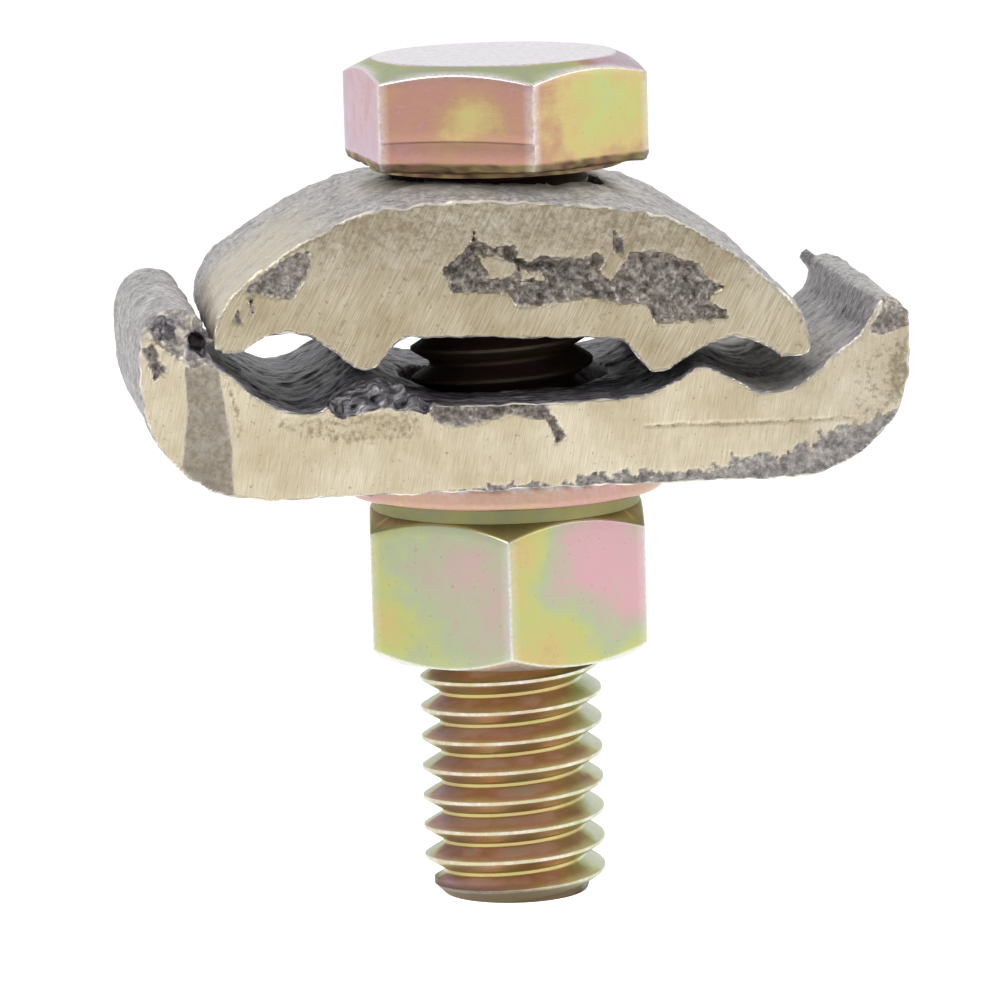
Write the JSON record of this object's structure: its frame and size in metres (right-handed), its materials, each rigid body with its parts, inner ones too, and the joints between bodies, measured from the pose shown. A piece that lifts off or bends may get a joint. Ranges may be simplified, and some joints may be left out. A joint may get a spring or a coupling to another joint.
{
  "type": "cable-to-plate connector",
  "caption": "Cast bronze saddle and flanged base, drawn together by a plated hex bolt, washer and nut, that grip cables in their grooves and bolt them to a plate.",
  "frame": {"origin": "the bolt axis where it crosses the base's flat underside, the face that lies on the plate", "axes": "+Z along the bolt towards its head, away from the plate; the cable grooves run along Y, and -Y is the front end"},
  "size_m": [0.0396, 0.0194, 0.0442],
  "materials": {
    "cast_bronze": "sand-cast bronze, grey and pitted as cast, linished bright on its front and back ends",
    "yellow_zinc": "steel with yellow-passivated zinc plate, iridescent, worn silver along the edges"
  },
  "bodies": {
    "base": {"clamp_base": "cast_bronze", "flat_washer": "yellow_zinc"},
    "nut": {"hex_nut": "yellow_zinc"},
    "bolt": {"hex_bolt": "yellow_zinc"},
    "saddle": {"clamp_saddle": "cast_bronze"}
  },
  "joints": [
    {"name": "bolt_lift", "type": "slide", "parent": "base", "child": "bolt", "axis": [0, 0, 1], "range_m": [0, 0.01111]},
    {"name": "saddle_lift", "type": "slide", "parent": "base", "child": "saddle", "axis": [0, 0, 1], "range_m": [0, 0.01112]},
    {"name": "nut_turn", "type": "hinge", "parent": "base", "child": "nut", "pos_m": [0, 0, 0], "axis": [0, 0, -1], "range_deg": [0, 2520]}
  ],
  "couplings": [
    {"joint": "saddle_lift", "follows": "bolt_lift", "ratio": 1},
    {"joint": "nut_turn", "follows": "bolt_lift", "rad_per_m": 3957.9}
  ]
}
